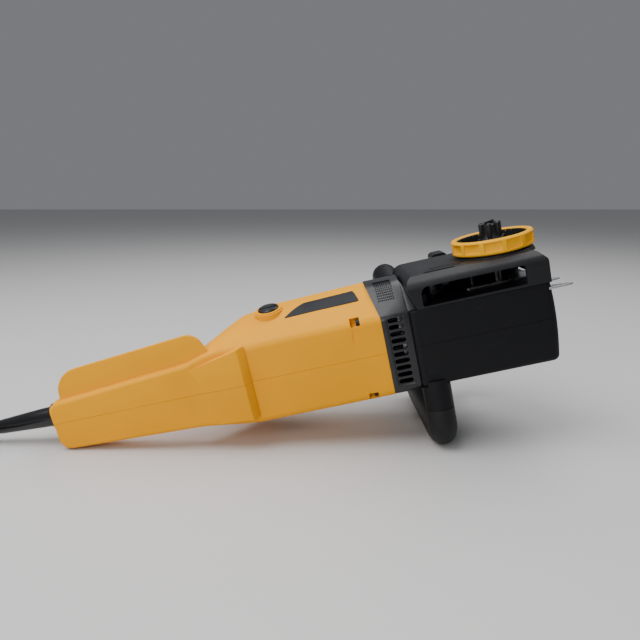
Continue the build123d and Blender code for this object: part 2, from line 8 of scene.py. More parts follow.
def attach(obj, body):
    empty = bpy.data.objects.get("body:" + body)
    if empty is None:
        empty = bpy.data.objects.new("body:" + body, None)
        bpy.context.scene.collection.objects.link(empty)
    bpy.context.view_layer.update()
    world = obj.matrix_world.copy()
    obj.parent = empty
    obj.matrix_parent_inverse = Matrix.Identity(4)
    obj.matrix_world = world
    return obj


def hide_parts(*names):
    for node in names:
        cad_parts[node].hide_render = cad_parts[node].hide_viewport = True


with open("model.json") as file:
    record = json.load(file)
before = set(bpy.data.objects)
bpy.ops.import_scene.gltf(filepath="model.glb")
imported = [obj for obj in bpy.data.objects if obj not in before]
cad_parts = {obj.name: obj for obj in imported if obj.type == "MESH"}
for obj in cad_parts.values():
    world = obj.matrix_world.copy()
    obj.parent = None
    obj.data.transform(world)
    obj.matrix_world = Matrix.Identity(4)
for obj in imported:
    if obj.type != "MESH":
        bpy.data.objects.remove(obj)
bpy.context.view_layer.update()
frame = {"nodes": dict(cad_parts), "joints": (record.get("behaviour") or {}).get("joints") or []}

# ==== The saw's own frame =======================================================================
# The saw lies on its left side with its nose up. Pieces are drawn in millimetres in the saw's own
# frame: X runs along the motor shaft to the nose, Y to the saw's top, Z to its right side.
joints = {joint["name"]: joint for joint in frame["joints"]}
TO_NOSE = Vector(joints["motor_spin"]["axis"]).normalized()
TO_RIGHT = Vector(joints["ring_turn"]["axis"]).normalized()
TO_TOP = TO_RIGHT.cross(TO_NOSE)
SHAFT_MARK_X = 50.0
SAW = Matrix((TO_NOSE, TO_TOP, TO_RIGHT)).transposed().to_4x4()
SAW.translation = Vector(joints["motor_spin"]["pos_m"]) - TO_NOSE * SHAFT_MARK_X / 1000
SAW_MM = SAW @ Matrix.Scale(0.001, 4)


# ==== Bench, daylight and camera ====================================================================
# A plain pale floor under soft daylight from large panels, seen from low down in front of the
# saw's underside.
def link(obj):
    bpy.context.scene.collection.objects.link(obj)
    return obj


def plain_material(name, color, roughness, metallic=0.0):
    material = bpy.data.materials.new(name)
    material.use_nodes = True
    shader = material.node_tree.nodes["Principled BSDF"]
    shader.inputs["Base Color"].default_value = (*color, 1)
    shader.inputs["Roughness"].default_value = roughness
    shader.inputs["Metallic"].default_value = metallic
    return material


floor_mesh = bmesh.new()
bmesh.ops.create_grid(floor_mesh, x_segments=1, y_segments=1, size=6)
floor = link(bpy.data.objects.new("bench_top", bpy.data.meshes.new("bench_top")))
floor_mesh.to_mesh(floor.data)
floor_mesh.free()
floor.data.materials.append(plain_material("pale_bench", (0.62, 0.61, 0.6), 0.55))

CAMERA_AT = (0.0157, -0.5693, 0.2443)
CAMERA_DOWN = 13.3
camera = link(bpy.data.objects.new("camera", bpy.data.cameras.new("camera")))
camera.data.lens = 31.5
camera.data.sensor_width = 36
camera.data.clip_start = 0.01
camera.location = CAMERA_AT
camera.rotation_euler = (math.radians(90 - CAMERA_DOWN), 0, 0)
bpy.context.scene.camera = camera


def soft_light(name, at, aim, size, power, color=(1, 1, 1)):
    lamp = link(bpy.data.objects.new(name, bpy.data.lights.new(name, "AREA")))
    lamp.data.shape = "DISK"
    lamp.data.size = size
    lamp.data.energy = power
    lamp.data.color = color
    lamp.location = at
    lamp.rotation_euler = (Vector(aim) - Vector(at)).to_track_quat("-Z", "Y").to_euler()


soft_light("window", (-0.7, -0.35, 1.5), (0, 0, 0.05), 1.3, 26, (0.97, 0.98, 1))
soft_light("ceiling", (0.4, 0.5, 1.6), (0, 0, 0.05), 1.6, 18)
soft_light("front_fill", (-0.6, -1.5, 0.9), (0, 0, 0.08), 0.9, 11)
world = bpy.data.worlds.new("daylight")
bpy.context.scene.world = world
world.use_nodes = True
world.node_tree.nodes["Background"].inputs["Color"].default_value = (0.8, 0.83, 0.88, 1)
world.node_tree.nodes["Background"].inputs["Strength"].default_value = 0.24


# ==== Surface effects that the materials share =========================================================
# Moulded and rubbed surfaces: fine grain, slow colour drift, pale scuffs and settled dust are one
# group, and each material gives it its own colours and amounts.
def group_node(tree, kind, **settings):
    node = tree.nodes.new(kind)
    for key, value in settings.items():
        setattr(node, key, value)
    return node


def worn_surface_group():
    tree = bpy.data.node_groups.new("worn_surface", "ShaderNodeTree")
    face = tree.interface
    for name, kind, value in (
        ("Color", "NodeSocketColor", (0.5, 0.5, 0.5, 1)),
        ("Scuff Color", "NodeSocketColor", (0.6, 0.6, 0.6, 1)),
        ("Roughness", "NodeSocketFloat", 0.45),
        ("Grain Scale", "NodeSocketFloat", 900.0),
        ("Grain Depth", "NodeSocketFloat", 0.15),
        ("Drift", "NodeSocketFloat", 0.08),
        ("Scuffs", "NodeSocketFloat", 0.3),
        ("Dust", "NodeSocketFloat", 0.1),
    ):
        socket = face.new_socket(name=name, in_out="INPUT", socket_type=kind)
        socket.default_value = value
    for name, kind in (("Color", "NodeSocketColor"), ("Roughness", "NodeSocketFloat"),
                       ("Normal", "NodeSocketVector")):
        face.new_socket(name=name, in_out="OUTPUT", socket_type=kind)
    given = group_node(tree, "NodeGroupInput")
    result = group_node(tree, "NodeGroupOutput")
    where = group_node(tree, "ShaderNodeTexCoord")

    def noise(scale, detail, stretch=None):
        node = group_node(tree, "ShaderNodeTexNoise")
        node.inputs["Scale"].default_value = scale
        node.inputs["Detail"].default_value = detail
        if stretch:
            mapping = group_node(tree, "ShaderNodeMapping")
            mapping.inputs["Scale"].default_value = stretch
            mapping.inputs["Rotation"].default_value = (0.2, 0.5, 0.3)
            tree.links.new(where.outputs["Object"], mapping.inputs["Vector"])
            tree.links.new(mapping.outputs["Vector"], node.inputs["Vector"])
        else:
            tree.links.new(where.outputs["Object"], node.inputs["Vector"])
        return node

    def mask(source, low, high):
        node = group_node(tree, "ShaderNodeMapRange")
        node.inputs["From Min"].default_value = low
        node.inputs["From Max"].default_value = high
        tree.links.new(source, node.inputs["Value"])
        return node.outputs["Result"]

    def multiply(a, b, operation="MULTIPLY"):
        node = group_node(tree, "ShaderNodeMath", operation=operation)
        for socket, value in zip(node.inputs, (a, b)):
            if isinstance(value, (int, float)):
                socket.default_value = value
            else:
                tree.links.new(value, socket)
        return node.outputs["Value"]

    def mix(amount, a, b):
        node = group_node(tree, "ShaderNodeMix", data_type="RGBA")
        tree.links.new(amount, node.inputs[0])
        tree.links.new(a, node.inputs[6])
        if isinstance(b, tuple):
            node.inputs[7].default_value = b
        else:
            tree.links.new(b, node.inputs[7])
        return node.outputs[2]

    drift = multiply(mask(noise(14, 3).outputs["Fac"], 0.3, 0.7), given.outputs["Drift"])
    scratches = mask(noise(60, 6, (1.0, 14.0, 3.0)).outputs["Fac"], 0.66, 0.78)
    patches = mask(noise(22, 2).outputs["Fac"], 0.45, 0.7)
    scuffs = multiply(multiply(scratches, patches), given.outputs["Scuffs"])
    up = group_node(tree, "ShaderNodeSeparateXYZ")
    geometry = group_node(tree, "ShaderNodeNewGeometry")
    tree.links.new(geometry.outputs["Normal"], up.inputs["Vector"])
    dust = multiply(multiply(mask(up.outputs["Z"], 0.1, 0.95), mask(noise(45, 5).outputs["Fac"], 0.3, 0.75)),
                    given.outputs["Dust"])
    color = mix(drift, given.outputs["Color"], (0, 0, 0, 1))
    color = mix(scuffs, color, given.outputs["Scuff Color"])
    color = mix(dust, color, (0.62, 0.6, 0.57, 1))
    tree.links.new(color, result.inputs["Color"])
    rough = multiply(multiply(scuffs, 0.35), given.outputs["Roughness"], "ADD")
    rough = multiply(rough, multiply(dust, 0.5), "ADD")
    fine_rough = multiply(multiply(noise(160, 3).outputs["Fac"], 0.12), -0.06, "ADD")
    tree.links.new(multiply(rough, fine_rough, "ADD"), result.inputs["Roughness"])
    grain = group_node(tree, "ShaderNodeTexNoise")
    grain.inputs["Detail"].default_value = 2.0
    tree.links.new(where.outputs["Object"], grain.inputs["Vector"])
    tree.links.new(given.outputs["Grain Scale"], grain.inputs["Scale"])
    bump = group_node(tree, "ShaderNodeBump")
    bump.inputs["Distance"].default_value = 0.0003
    tree.links.new(given.outputs["Grain Depth"], bump.inputs["Strength"])
    tree.links.new(grain.outputs["Fac"], bump.inputs["Height"])
    tree.links.new(bump.outputs["Normal"], result.inputs["Normal"])
    return tree


WORN_SURFACE = worn_surface_group()


def finish_material(name, color, roughness, grain=900, depth=0.15, drift=0.08, scuffs=0.3, dust=0.1,
                    scuff_color=None,
                    metallic=0.0, specular=0.5, coat=0.0):
    """A principled shader whose colour, roughness and normal come from the shared group."""
    material = plain_material(name, color, roughness, metallic)
    tree = material.node_tree
    shader = tree.nodes["Principled BSDF"]
    shader.inputs["Specular IOR Level"].default_value = specular
    shader.inputs["Coat Weight"].default_value = coat
    worn = tree.nodes.new("ShaderNodeGroup")
    worn.node_tree = WORN_SURFACE
    lighter = scuff_color or tuple(min(1, channel * 1.5 + 0.05) for channel in color)
    worn.inputs["Color"].default_value = (*color, 1)
    worn.inputs["Scuff Color"].default_value = (*lighter, 1)
    for key, value in (("Roughness", roughness), ("Grain Scale", grain), ("Grain Depth", depth),
                       ("Drift", drift),
                       ("Scuffs", scuffs), ("Dust", dust)):
        worn.inputs[key].default_value = value
    tree.links.new(worn.outputs["Color"], shader.inputs["Base Color"])
    tree.links.new(worn.outputs["Roughness"], shader.inputs["Roughness"])
    tree.links.new(worn.outputs["Normal"], shader.inputs["Normal"])
    return material


yellow_shell = finish_material("yellow_shell", (0.92, 0.385, 0.0), 0.5, 1400, 0.12, 0.07, 0.1, 0.01,
                               (1.0, 0.5, 0.02),
                               specular=0.12)
yellow_ring = finish_material("yellow_ring", (0.92, 0.44, 0.0), 0.45, 1400, 0.1, 0.06, 0.15, 0.01,
                              (1.0, 0.55, 0.03),
                              specular=0.15)
black_shell = finish_material("black_shell", (0.006, 0.0062, 0.0075), 0.46, 1500, 0.35, 0.1, 0.35, 0.008,
                              (0.045, 0.045, 0.052), specular=0.18)
black_cover = finish_material("black_cover", (0.008, 0.0082, 0.01), 0.44, 1300, 0.4, 0.1, 0.4, 0.012,
                              (0.07, 0.07, 0.077), specular=0.34)
grip_rubber = finish_material("grip_rubber", (0.006, 0.006, 0.0066), 0.5, 1700, 0.3, 0.08, 0.3, 0.01,
                              (0.05, 0.05, 0.05),
                              specular=0.3)
cord_rubber = finish_material("cord_rubber", (0.006, 0.006, 0.007), 0.24, 700, 0.08, 0.05, 0.15, 0.01,
                              (0.04, 0.04, 0.04))
zinc_steel = finish_material("zinc_steel", (0.62, 0.63, 0.65), 0.28, 500, 0.05, 0.12, 0.3, 0.0,
                             (0.8, 0.8, 0.8), 1.0)
dark_steel = finish_material("dark_steel", (0.13, 0.13, 0.135), 0.33, 500, 0.05, 0.15, 0.3, 0.0,
                             (0.5, 0.5, 0.5), 1.0)
cast_metal = finish_material("cast_metal", (0.3, 0.31, 0.32), 0.45, 260, 0.4, 0.1, 0.2, 0.05,
                             (0.75, 0.75, 0.75), 1.0)
laminations = finish_material("laminations", (0.3, 0.29, 0.28), 0.42, 1200, 0.4, 0.15, 0.2, 0.0,
                              (0.5, 0.5, 0.5), 1.0)
copper_wire = finish_material("copper_wire", (0.55, 0.2, 0.07), 0.32, 700, 0.5, 0.2, 0.2, 0.0,
                              (0.7, 0.35, 0.2), 1.0)
brass_metal = finish_material("brass_metal", (0.68, 0.48, 0.2), 0.3, 500, 0.08, 0.12, 0.2, 0.0,
                              (0.8, 0.65, 0.4), 1.0)
pressed_carbon = finish_material("pressed_carbon", (0.03, 0.03, 0.03), 0.6, 600, 0.4, 0.1, 0.2, 0.0)
tank_plastic = finish_material("tank_plastic", (0.66, 0.65, 0.58), 0.4, 800, 0.1, 0.08, 0.1, 0.05)
label_film = finish_material("label_film", (0.016, 0.0165, 0.02), 0.55, 400, 0.02, 0.04, 0.1, 0.02,
                             specular=0.2)
# Case screws: a dark screw finish, darkened further as painted shade standing in for the shade down in their
# sunk pockets.
screw_black_painted_shade = finish_material("screw_black_painted_shade", (0.02, 0.02, 0.022), 0.5, 500, 0.05, 0.1, 0.2, 0.0,
                             (0.1, 0.1, 0.1), specular=0.2)

NODE_FINISH = {
    "right_housing": yellow_shell, "left_housing": yellow_shell, "cord_gland": yellow_shell,
    "tension_ring": yellow_ring,
    "vent_ring": black_shell, "gear_housing_left": black_shell, "gear_housing_right": black_shell,
    "front_handle": black_shell, "cooling_fan": black_shell, "switch_body": black_shell,
    "switch_plunger": black_shell,
    "cord_clamp": black_shell, "sprocket_cover": black_cover, "ring_dish": black_cover,
    "clamp_knob": black_cover,
    "brush_caps": black_cover, "hand_guard": black_cover, "trigger": black_cover,
    "lock_off_button": black_cover,
    "oil_cap": black_cover, "front_grip": grip_rubber, "cord_boot": cord_rubber, "cord_lead": cord_rubber,
    "cord_coil": cord_rubber, "cord_tail": cord_rubber, "cord_tie": black_shell, "plug_body": cord_rubber,
    "plug_pins": zinc_steel, "spiked_bumper": zinc_steel, "guide_plate": zinc_steel, "bar_stud": dark_steel,
    "case_screws": screw_black_painted_shade, "pivot_pins": zinc_steel, "clamp_nut": zinc_steel,
    "sprocket_retainer": zinc_steel,
    "button_spring": zinc_steel, "tension_slider": dark_steel, "armature_shaft": dark_steel,
    "sprocket_spindle": dark_steel, "drive_sprocket": dark_steel, "bevel_gear": dark_steel,
    "drive_pinion": dark_steel,
    "brake_drum": dark_steel, "brake_band": dark_steel, "motor_bearings": dark_steel,
    "spindle_bearings": dark_steel,
    "armature_core": laminations, "stator_core": laminations, "armature_windings": copper_wire,
    "field_coils": copper_wire, "commutator": copper_wire, "brush_holders": brass_metal,
    "carbon_brushes": pressed_carbon,
    "gear_case": cast_metal, "gear_case_cover": cast_metal, "chain_catcher": black_shell,
    "oil_pump": cast_metal,
    "oil_tank": tank_plastic, "blank_label": label_film, "oil_window": tank_plastic,
}
for node, material in NODE_FINISH.items():
    for material_slot in frame["nodes"][node].material_slots:
        material_slot.material = material


# ==== Mains lead ==================================================================================
# Smooth black rubber lead. It leaves the rear of the handle through its boot, sinks to the bench and
# ends in a small tied coil and a two-pin plug.
CORD_R = 0.00475
LEAD = [(-0.2287, -0.0593, 0.0311), (-0.2639, -0.0593, 0.0234), (-0.2952, -0.0591, 0.0152),
        (-0.3265, -0.0616, 0.007)]
TAIL = [(-0.396, -0.0952, 0.0151), (-0.4205, -0.1026, 0.0166), (-0.445, -0.105, 0.0175)]
COIL_AT = (-0.3403, -0.1203)
COIL_R = 0.0525
COIL_START, COIL_END, COIL_STEP = 110, 490, 20
TIE_ANGLE = 121
TIE_LIFT = 0.00115


def coil_height(angle):
    """On the bench for most of the turn, then up and over the lead where the turn closes."""
    climb = min(1, max(0, (angle - 370) / 80))
    near_tie = math.exp(-((((angle - TIE_ANGLE + 180) % 360) - 180) / 30) ** 2)
    return 0.0049 + 0.0097 * climb * climb * (3 - 2 * climb) + TIE_LIFT * near_tie


def coil_point(angle):
    turn = math.radians(angle)
    return (COIL_AT[0] + COIL_R * math.cos(turn), COIL_AT[1] + COIL_R * math.sin(turn), coil_height(angle))


route = LEAD + [coil_point(angle) for angle in range(COIL_START, COIL_END + 1, COIL_STEP)] + TAIL
cord_curve = bpy.data.curves.new("mains_lead", "CURVE")
cord_curve.dimensions = "3D"
cord_curve.bevel_depth = CORD_R
cord_curve.bevel_resolution = 6
cord_curve.resolution_u = 10
cord_curve.use_fill_caps = True
spline = cord_curve.splines.new("NURBS")
spline.points.add(len(route) - 1)
for point, place in zip(spline.points, route):
    point.co = (*place, 1)
spline.order_u = 3
spline.use_endpoint_u = True
mains_lead = link(bpy.data.objects.new("mains_lead", cord_curve))
cord_curve.materials.append(cord_rubber)
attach(mains_lead, "saw")
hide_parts("cord_lead", "cord_coil", "cord_tail")


# ==== Modelling helpers ===========================================================================
# Sections are a few corners joined by a face, rounded by vertex bevels, then extruded or bridged.
# Everything is drawn in millimetres in the saw's frame and moved to its place once, at the end.
def along_x(level):
    return lambda y, z: Vector((level, y, z))


def along_y(level):
    return lambda x, z: Vector((x, level, z))


def along_z(level):
    return lambda x, y: Vector((x, y, level))


def rounded_face(bm, corners, radii, lay, steps=5):
    """A face with rounded corners; lay turns its two drawing axes into a place in the saw."""
    known = set(bm.faces)
    verts = [bm.verts.new(lay(*corner)) for corner in corners]
    bm.faces.new(verts)
    for index, radius in enumerate(radii):
        if radius:
            here = lay(*corners[index])
            before = lay(*corners[index - 1]) - here
            after = lay(*corners[(index + 1) % len(corners)]) - here
            setback = radius / math.tan(before.angle(after) / 2)
            bmesh.ops.bevel(bm, geom=[verts[index]], offset=setback, offset_type="OFFSET", affect="VERTICES",
                            segments=steps, profile=0.5, material=-1)
    return next(face for face in bm.faces if face not in known)


def prism(corners, radii, direction, low, high, steps=5):
    bm = bmesh.new()
    face = rounded_face(bm, corners, radii, direction(low), steps)
    grown = bmesh.ops.extrude_face_region(bm, geom=[face])["geom"]
    shift = direction(high)(0, 0) - direction(low)(0, 0)
    bmesh.ops.translate(bm, vec=shift, verts=[item for item in grown if isinstance(item, bmesh.types.BMVert)])
    bmesh.ops.recalc_face_normals(bm, faces=bm.faces)
    return bm


def loft(sections, steps=5):
    """Bridges rounded sections, each given as its corners, radii and place, and caps both ends."""
    bm = bmesh.new()
    faces = [rounded_face(bm, corners, radii, lay, steps) for corners, radii, lay in sections]
    rims = [list(face.edges) for face in faces]
    for low, high in zip(rims, rims[1:]):
        bmesh.ops.bridge_loops(bm, edges=low + high)
    bmesh.ops.delete(bm, geom=faces[1:-1], context="FACES_ONLY")
    bmesh.ops.recalc_face_normals(bm, faces=bm.faces)
    return bm


def box(x, y, z):
    return prism([(x[0], y[0]), (x[1], y[0]), (x[1], y[1]), (x[0], y[1])], [0] * 4, along_z, *z)


def lathe(profile, steps=48):
    """Turns a closed profile of (radius, height) corners about Z."""
    bm = bmesh.new()
    verts = [bm.verts.new((radius, 0, height)) for radius, height in profile]
    edges = [bm.edges.new(pair) for pair in zip(verts, verts[1:] + verts[:1])]
    bmesh.ops.spin(bm, geom=verts + edges, cent=(0, 0, 0), axis=(0, 0, 1), dvec=(0, 0, 0), angle=2 * math.pi,
                   steps=steps, use_merge=True, use_duplicate=False)
    bmesh.ops.remove_doubles(bm, verts=bm.verts, dist=0.001)
    bmesh.ops.recalc_face_normals(bm, faces=bm.faces)
    return bm


def rod(radius, low, high, steps=40, top_radius=None):
    bm = bmesh.new()
    bmesh.ops.create_cone(bm, cap_ends=True, segments=steps, radius1=radius, depth=high - low,
                          radius2=radius if top_radius is None else top_radius)
    bmesh.ops.translate(bm, vec=(0, 0, (low + high) / 2), verts=bm.verts)
    return bm


def moved(bm, *moves):
    """Applies the moves, last one first, as they'd be written in a product."""
    total = Matrix.Identity(4)
    for move in moves:
        total = total @ move
    bm.transform(total)
    return bm


def shift(x, y, z):
    return Matrix.Translation((x, y, z))


def turn(degrees, axis):
    return Matrix.Rotation(math.radians(degrees), 4, axis)


LAY_ALONG_X = turn(90, "Y")
LAY_ALONG_Y = turn(-90, "X")


def soften(bm, width, segments=3, above=30, chosen=None):
    """Rounds the edges sharper than the angle, or those of them that the test picks."""
    limit = math.radians(above)
    edges = [edge for edge in bm.edges if len(edge.link_faces) == 2 and edge.calc_face_angle(0) > limit]
    if chosen:
        edges = [edge for edge in edges if chosen((edge.verts[0].co + edge.verts[1].co) / 2)]
    bmesh.ops.bevel(bm, geom=edges, offset=width, offset_type="OFFSET", affect="EDGES", segments=segments,
                    profile=0.5, material=-1, clamp_overlap=True, miter_outer="ARC")
    return bm


def joined(*forms):
    """Several forms in one bmesh, left as they are."""
    whole = bmesh.new()
    for form in forms:
        mesh = bpy.data.meshes.new("joining")
        form.to_mesh(mesh)
        whole.from_mesh(mesh)
        bpy.data.meshes.remove(mesh)
        form.free()
    return whole


def helper_object(bm):
    mesh = bpy.data.meshes.new("helper")
    bm.to_mesh(mesh)
    bm.free()
    return link(bpy.data.objects.new("helper", mesh))


def combine(base, operation, *tools):
    """Boolean of bmeshes: DIFFERENCE, UNION or INTERSECT, one tool after another."""
    work = helper_object(base)
    helpers = [helper_object(tool) for tool in tools]
    for tool in helpers:
        modifier = work.modifiers.new("combine", "BOOLEAN")
        modifier.operation = operation
        modifier.solver = "EXACT"
        modifier.object = tool
    bpy.context.view_layer.update()
    evaluated = work.evaluated_get(bpy.context.evaluated_depsgraph_get())
    result = bmesh.new()
    result.from_mesh(evaluated.to_mesh())
    evaluated.to_mesh_clear()
    for item in [work] + helpers:
        mesh = item.data
        bpy.data.objects.remove(item)
        bpy.data.meshes.remove(mesh)
    bmesh.ops.remove_doubles(result, verts=result.verts, dist=0.002)
    return result


def cut(base, *tools):
    return combine(base, "DIFFERENCE", *tools)


def fused(base, *tools):
    return combine(base, "UNION", *tools)


def piece(name, bm, material, body, *nodes, bevel=0.0, segments=2, sharp=32, frame_matrix=SAW_MM):
    """Puts a finished bmesh in its place as an object on its body, in place of its CAD nodes."""
    bm.transform(frame_matrix)
    mesh = bpy.data.meshes.new(name)
    bm.to_mesh(mesh)
    bm.free()
    for polygon in mesh.polygons:
        polygon.use_smooth = True
    mesh.set_sharp_from_angle(angle=math.radians(sharp))
    obj = link(bpy.data.objects.new(name, mesh))
    mesh.materials.append(material)
    if bevel:
        modifier = obj.modifiers.new("edge", "BEVEL")
        modifier.width = bevel / 1000
        modifier.segments = segments
        modifier.limit_method = "ANGLE"
        modifier.angle_limit = math.radians(sharp)
        modifier.harden_normals = True
    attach(obj, body)
    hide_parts(*nodes)
    return obj


def from_node(name):
    """A copy of a CAD node's mesh in the saw's frame, in millimetres, with its faces joined up."""
    node = frame["nodes"][name]
    bm = bmesh.new()
    bm.from_mesh(node.data)
    bm.transform(SAW_MM.inverted() @ node.matrix_world)
    bmesh.ops.remove_doubles(bm, verts=bm.verts, dist=0.01)
    bmesh.ops.dissolve_limit(bm, angle_limit=math.radians(0.6), verts=bm.verts, edges=bm.edges)
    return bm


# ==== Yellow motor housing and rear handle =========================================================
# Two moulded shells of glass-filled nylon that part along Z = 0 and are screwed together. The form is
# one run of sections from the handle's rear end through the flare to the motor's front.
WALL = 3.0
REAR_X, GLAND_X, NECK_X, MOTOR_X, VENT_X = -239.0, -242.9, -105.0, -50.0, 81.2
MOTOR_RADII = [7, 9, 22, 22, 12, 12, 18, 16]
NECK_RADII = [4, 4, 5, 5, 4, 4, 5, 5]


def mix(a, b, t):
    return a + (b - a) * t


def ease(t):
    return t * t * (3 - 2 * t)


def neck_corners(low, high):
    return [(-50, low + 1.5), (-50, high - 1.5), (-43, high + 0.5), (-33, high + 0.5),
            (-26, high - 1.5), (-26, low + 1.5), (-33, low - 0.5), (-43, low - 0.5)]


def motor_corners(crown):
    return [(-45, -41), (-45, 34), (-15, crown - 3), (18, crown), (46, 34), (46, -38), (18, -53), (-15, -52)]


def crest_at(x):
    """Height of the housing's crest at x: low where the flare ends, then rising gently to the vent ring."""
    along = (x - MOTOR_X) / (VENT_X - MOTOR_X)
    return mix(57, 61, along) - 4.5 * (1 - ease(min(1, (x - MOTOR_X) / 28)))


def shell_section(x):
    """Corners and radii of the housing's outside at x."""
    if x <= NECK_X:
        along = (x - REAR_X) / (NECK_X - REAR_X)
        low, high = mix(-28.2, -33.5, along), mix(20, 30.5, along)
        from_end = x - REAR_X
        if from_end < 9:
            low += 9 - math.sqrt(81 - (9 - from_end) ** 2)
        if from_end < 7:
            high -= 7 - math.sqrt(49 - (7 - from_end) ** 2)
        return neck_corners(low, high), NECK_RADII
    if x < MOTOR_X:
        along = (x - NECK_X) / (MOTOR_X - NECK_X)
        pairs = list(zip(neck_corners(-33.5, 30.5), motor_corners(crest_at(MOTOR_X))))
        corners = [(mix(a[0], b[0], along), mix(a[1], b[1], mix(along, ease(along), 0.2))) for a, b in pairs]
        corners[1] = (corners[1][0], corners[1][1] + 5 * math.sin(math.pi * along))
        radii = [mix(a, b, along * along) for a, b in zip(NECK_RADII, MOTOR_RADII)]
        return corners, radii
    return motor_corners(crest_at(x)), MOTOR_RADII


def shrunk(corners, wall):
    """Corners drawn in towards their middle until the farthest have moved by the wall."""
    middle_y = sum(corner[0] for corner in corners) / len(corners)
    middle_z = sum(corner[1] for corner in corners) / len(corners)
    by_y = 1 - wall / max(abs(corner[0] - middle_y) for corner in corners)
    by_z = 1 - wall / max(abs(corner[1] - middle_z) for corner in corners)
    return [(middle_y + (y - middle_y) * by_y, middle_z + (z - middle_z) * by_z) for y, z in corners]


def inner_section(x):
    corners, radii = shell_section(x)
    return shrunk(corners, WALL), [radius * 0.8 for radius in radii]


REAR_ROUND = [REAR_X + step for step in (0.1, 1, 2.6, 5.4, 9)]
FLARE_XS = [NECK_X + (MOTOR_X - NECK_X) * k / 9 for k in range(10)]
MOTOR_XS = [-43, -36, -29, -22, -6, 38]
outer_xs = REAR_ROUND + [-190, -150] + FLARE_XS + MOTOR_XS + [VENT_X]
inner_xs = [REAR_X + 3, REAR_X + 9, -190, -150] + FLARE_XS + MOTOR_XS + [VENT_X + 4]


def handle_post(inset):
    i = inset
    foot = [(REAR_X + i, -28.2 + i), (-206 - i, -29 + i), (-206 - i, 19 - i), (REAR_X + i, 19 - i)]
    crown = [(REAR_X + 4 + i, -17 + i), (-204 - i, -17 + i), (-204 - i, 17 - i), (REAR_X + 4 + i, 17 - i)]
    return loft([(foot, [6] * 4, along_y(-47)), (crown, [6] * 4, along_y(52))])


def handle_grip(inset):
    i = inset
    face = [(20 + i, -17 + i), (20 + i, 17 - i), (54 - i, 17 - i), (54 - i, -17 + i)]
    return prism(face, [12 - i] * 4, along_x, REAR_X + 6 + i, -42, 8)


HOUSING_SCREWS = ((62, -40.5, 33), (66, -40.5, -37), (62, 40, 31), (66, 40, -35))


def brush_axis(form, low_side=False):
    return moved(form, shift(-21, 0, 0), turn(10, "X"), turn(180 if low_side else 0, "X"))


def housing_form():
    outside = fused(
        loft([(*shell_section(x), along_x(x)) for x in outer_xs]), soften(handle_post(0), 2.0),
        soften(handle_grip(0), 3.0),
        brush_axis(rod(15.5, 46, 57.4, top_radius=14.4)), brush_axis(rod(13.6, 46, 58.6, top_radius=12.9)),
        brush_axis(rod(13.5, 44, 55.5, top_radius=12.6), True),
    )
    pad_side = [(-106, -49.2), (-89, -51.2), (-53.2, -53.4), (-46.8, -45.6), (-60, -40), (-106, -40)]
    pad = prism(pad_side, [0, 6, 1.2, 0, 0, 0], along_z, -60, 60)
    pad_face = [(-104, 24), (-46, 36.2), (-45.5, -34.5), (-86, -33), (-104, -27)]
    pad = combine(pad, "INTERSECT", prism(pad_face, [3, 3, 1, 6, 3], along_y, -60, -38))
    soften(pad, 0.9, 3, 40)
    inside = combine(
        loft([(*inner_section(x), along_x(x)) for x in inner_xs]), "UNION", handle_post(WALL),
        handle_grip(WALL),
    )
    posts = [combine(moved(rod(6.4, x - 12, x + 14), shift(0, y, z), LAY_ALONG_X), "INTERSECT",
                     outside.copy())
             for x, y, z in HOUSING_SCREWS]
    solid = fused(cut(fused(outside, pad), inside), *posts)
    cutters = [brush_axis(rod(10.4, 56, 80)), brush_axis(rod(6, 30, 70)), brush_axis(rod(10.4, 51, 80), True),
               brush_axis(rod(6, 30, 70), True)]
    for x, y, z in HOUSING_SCREWS:
        side_y, side_z = math.copysign(2.2, y), math.copysign(2.2, z)
        for out in (0, 1, 2):
            bore = moved(rod(4.4, x - 9, x), LAY_ALONG_X)
            cutters.append(moved(bore, shift(0, y + side_y * out, z + side_z * out)))
    cutters += [
        box((-119, -80), (14, 30), (-7.6, 7.6)), box((-132.1, -115.9), (30.6, 41.4), (13, 30)),
        moved(rod(9, REAR_X - 3, -226), shift(0, -31, 3), LAY_ALONG_X),
    ]
    for x, y in ((-221, -20), (-150, -38), (-94, -36), (-221, 40), (-152, 46), (-60, 46)):
        cutters.append(moved(rod(3.6, -60, -19, 24), shift(x, y, 0)))
    crease = prism([(52.2, 15), (53, 15), (55.2, 33), (54.2, 33)], [0] * 4, along_y, -50, -44.3)
    low_crease = prism([(58.2, -48), (59.2, -48), (58.8, -30), (58.2, -30)], [0] * 4, along_y, -50, -44.3)
    return cut(solid, *cutters, crease, low_crease)


housing = housing_form()
seam = 0.22
upper_half = cut(housing.copy(), box((-300, 200), (-100, 100), (-120, seam / 2)))
lower_half = cut(housing, box((-300, 200), (-100, 100), (-seam / 2, 120)))
guard = soften(prism([(-229, 12), (-229, 46), (-89, 57), (-73, 18)], [0, 23, 14, 0], along_y, -44, -40.4,
                     10), 1.1)
piece("right_shell", fused(upper_half, guard), yellow_shell, "saw", "right_housing", sharp=24)
piece("left_shell", lower_half, yellow_shell, "saw", "left_housing", sharp=24)
gland = prism([(-45, -9), (-45, 15.5), (-17, 15.5), (-17, -9)], [7] * 4, along_x, GLAND_X, REAR_X + 2, 8)
gland = cut(soften(gland, 1.0), moved(rod(5.6, GLAND_X - 4, REAR_X + 9), shift(0, -31, 3), LAY_ALONG_X))
piece("cord_entry", gland, yellow_shell, "saw", "cord_gland")


# ==== Blank label ==================================================================================
# A thin dark film with one slanted end lies on the right side just below the crest.
LABEL_XS = FLARE_XS[-2:] + MOTOR_XS + [VENT_X]


def label_ground():
    """The stretch of the housing's outside that the label lies on."""
    return loft([(*shell_section(x), along_x(x)) for x in LABEL_XS])


